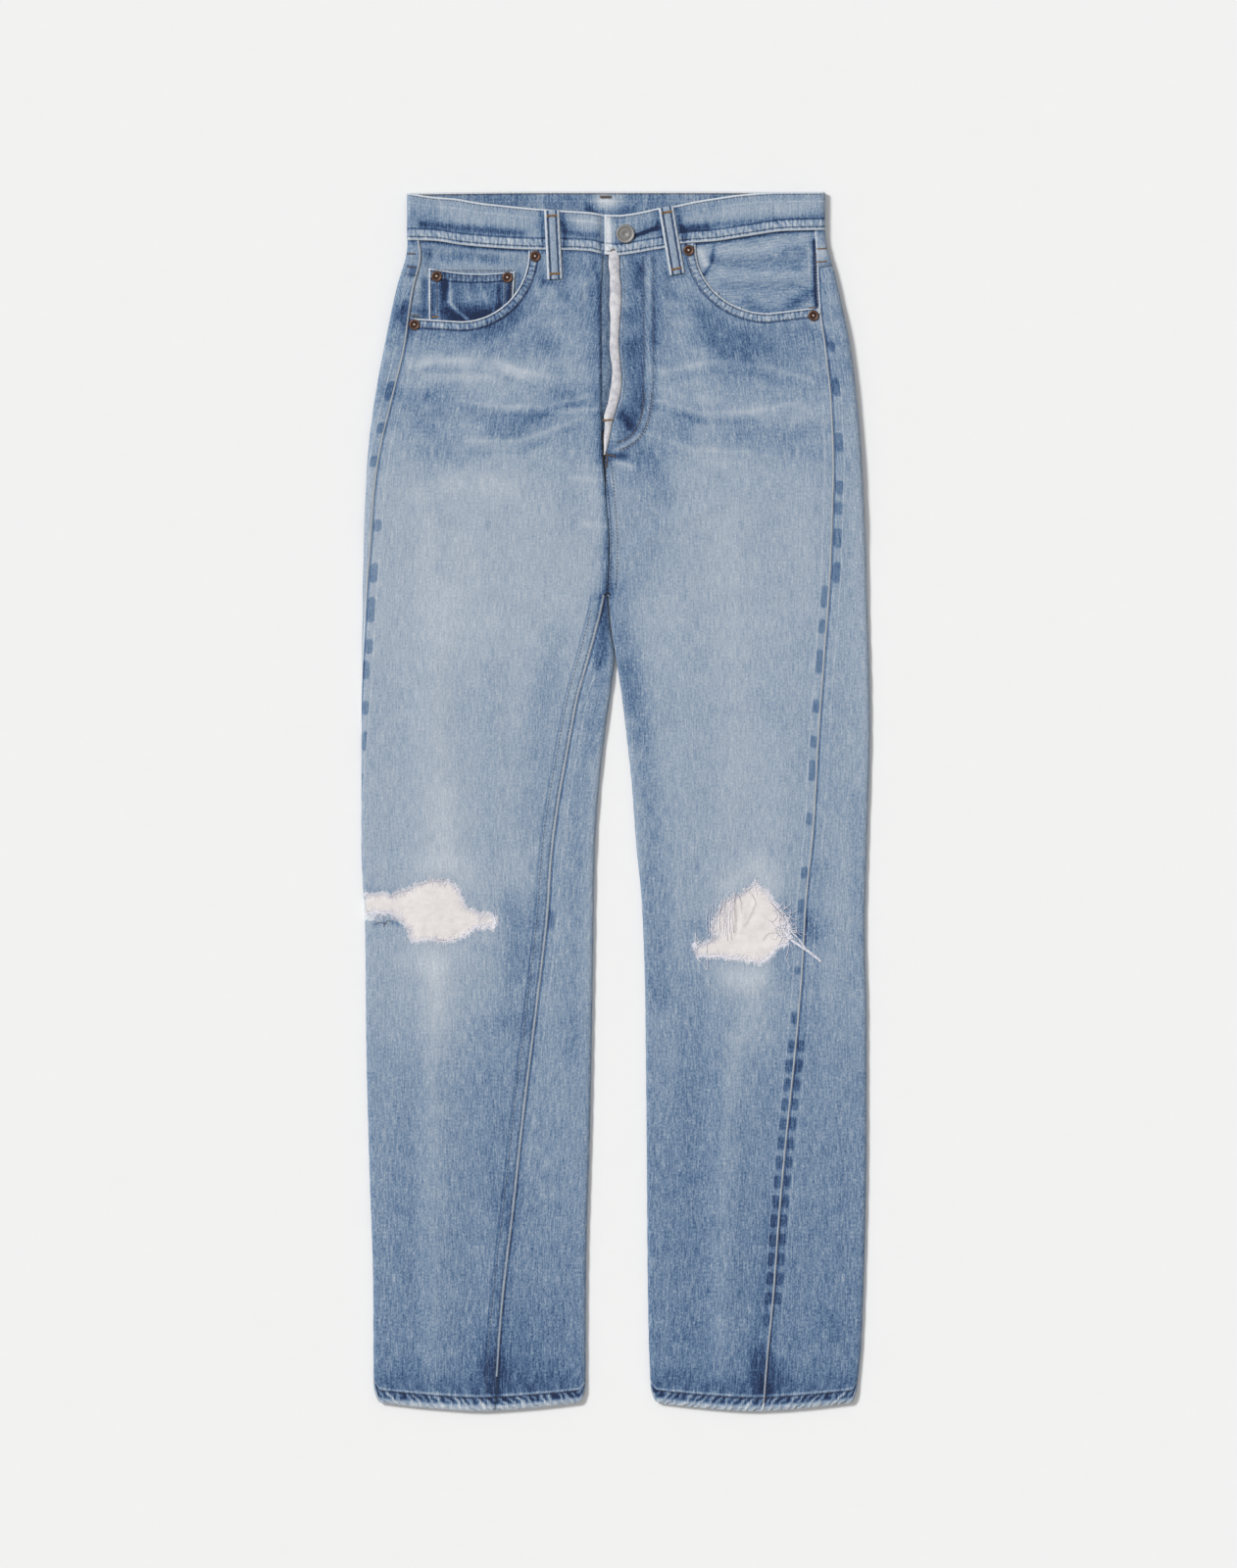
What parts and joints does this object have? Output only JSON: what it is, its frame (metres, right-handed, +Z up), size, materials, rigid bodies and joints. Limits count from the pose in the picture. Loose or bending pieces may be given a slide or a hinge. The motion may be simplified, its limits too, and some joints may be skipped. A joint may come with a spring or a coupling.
{
  "type": "ripped jeans",
  "caption": "Worn five-pocket denim jeans laid flat on their back, button fastened, twisted leg seams, both knees ripped open over bare white weft.",
  "frame": {"origin": "on the floor plane, under the middle of the garment's bounding box", "axes": "+X towards the wearer's left leg, +Y from the hems to the waist, +Z up from the floor through the back to the front"},
  "size_m": [0.4466, 1.07, 0.0122],
  "materials": {
    "denim": "washed-out blue right-hand twill, matt, with vertical slub streaks",
    "worn_white_edge": "rolled fly edge worn to the white core of its yarns",
    "copper_rivet": "dull copper, a little tarnished",
    "grey_button": "dull grey cast metal, worn on its rim"
  },
  "bodies": {
    "root": {"front_right": "denim", "front_left": "denim", "back_right": "denim", "back_left": "denim", "yoke_right": "denim", "yoke_left": "denim", "waistband": "denim", "pocket_facing_right": "denim", "pocket_facing_left": "denim", "coin_pocket": "denim", "fly_facing": "worn_white_edge", "fly_extension": "denim", "back_pocket_right": "denim", "back_pocket_left": "denim", "belt_loop_front_right": "denim", "belt_loop_front_left": "denim", "belt_loop_back_right": "denim", "belt_loop_back_centre": "denim", "belt_loop_back_left": "denim", "rivet_coin_inner": "copper_rivet", "rivet_coin_outer": "copper_rivet", "rivet_mouth_right_top": "copper_rivet", "rivet_mouth_right_side": "copper_rivet", "rivet_mouth_left_top": "copper_rivet", "rivet_mouth_left_side": "copper_rivet", "waist_button": "grey_button"}
  },
  "joints": []
}
